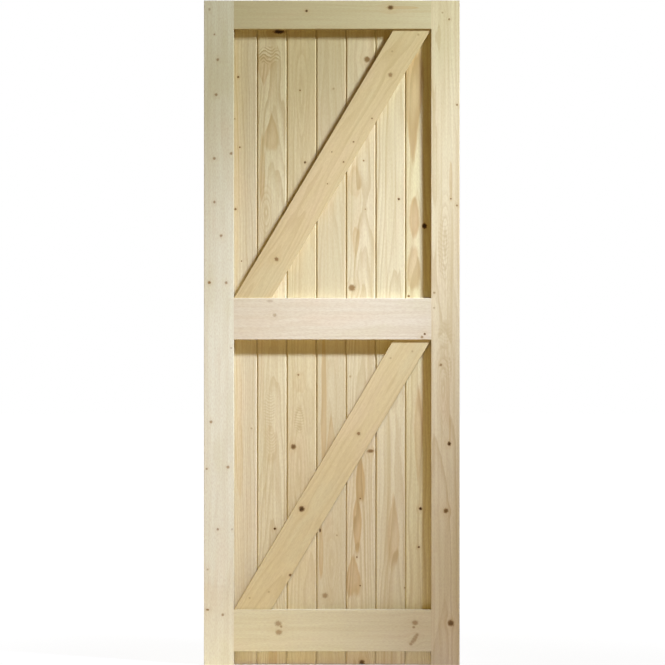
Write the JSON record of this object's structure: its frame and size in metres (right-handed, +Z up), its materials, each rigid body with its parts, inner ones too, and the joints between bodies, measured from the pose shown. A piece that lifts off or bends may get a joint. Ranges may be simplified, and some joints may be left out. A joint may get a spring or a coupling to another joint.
{
  "type": "ledged and braced gate",
  "caption": "Framed timber gate leaf: stiles and a top rail hold vertical V-jointed boards, backed by level ledges and parallel diagonal braces, to close a gateway or shed.",
  "frame": {"origin": "under the middle of the leaf, in the plane of its bottom edge", "axes": "+Z up the leaf, +X across it from the hanging stile to the closing stile, -Y out of the side that shows the ledges and braces"},
  "size_m": [0.762, 0.044, 1.981],
  "materials": {
    "stile_pine": "bare planed pine",
    "rail_pine": "bare planed pine",
    "ledge_pine": "bare planed pine",
    "brace_pine": "bare planed pine",
    "board_pine": "bare planed pine",
    "wedge_wood": "bare sawn softwood",
    "nail_steel": "bright wire"
  },
  "bodies": {
    "root": {"hanging_stile": "stile_pine", "closing_stile": "stile_pine", "top_rail": "rail_pine", "middle_ledge": "ledge_pine", "bottom_ledge": "ledge_pine", "upper_brace": "brace_pine", "lower_brace": "brace_pine", "board_1": "board_pine", "board_2": "board_pine", "board_3": "board_pine", "board_4": "board_pine", "board_5": "board_pine", "board_6": "board_pine", "board_7": "board_pine", "top_rail_wedges": "wedge_wood", "middle_ledge_wedges": "wedge_wood", "bottom_ledge_wedges": "wedge_wood", "middle_ledge_nails": "nail_steel", "bottom_ledge_nails": "nail_steel", "upper_brace_nails": "nail_steel", "lower_brace_nails": "nail_steel"}
  },
  "joints": []
}
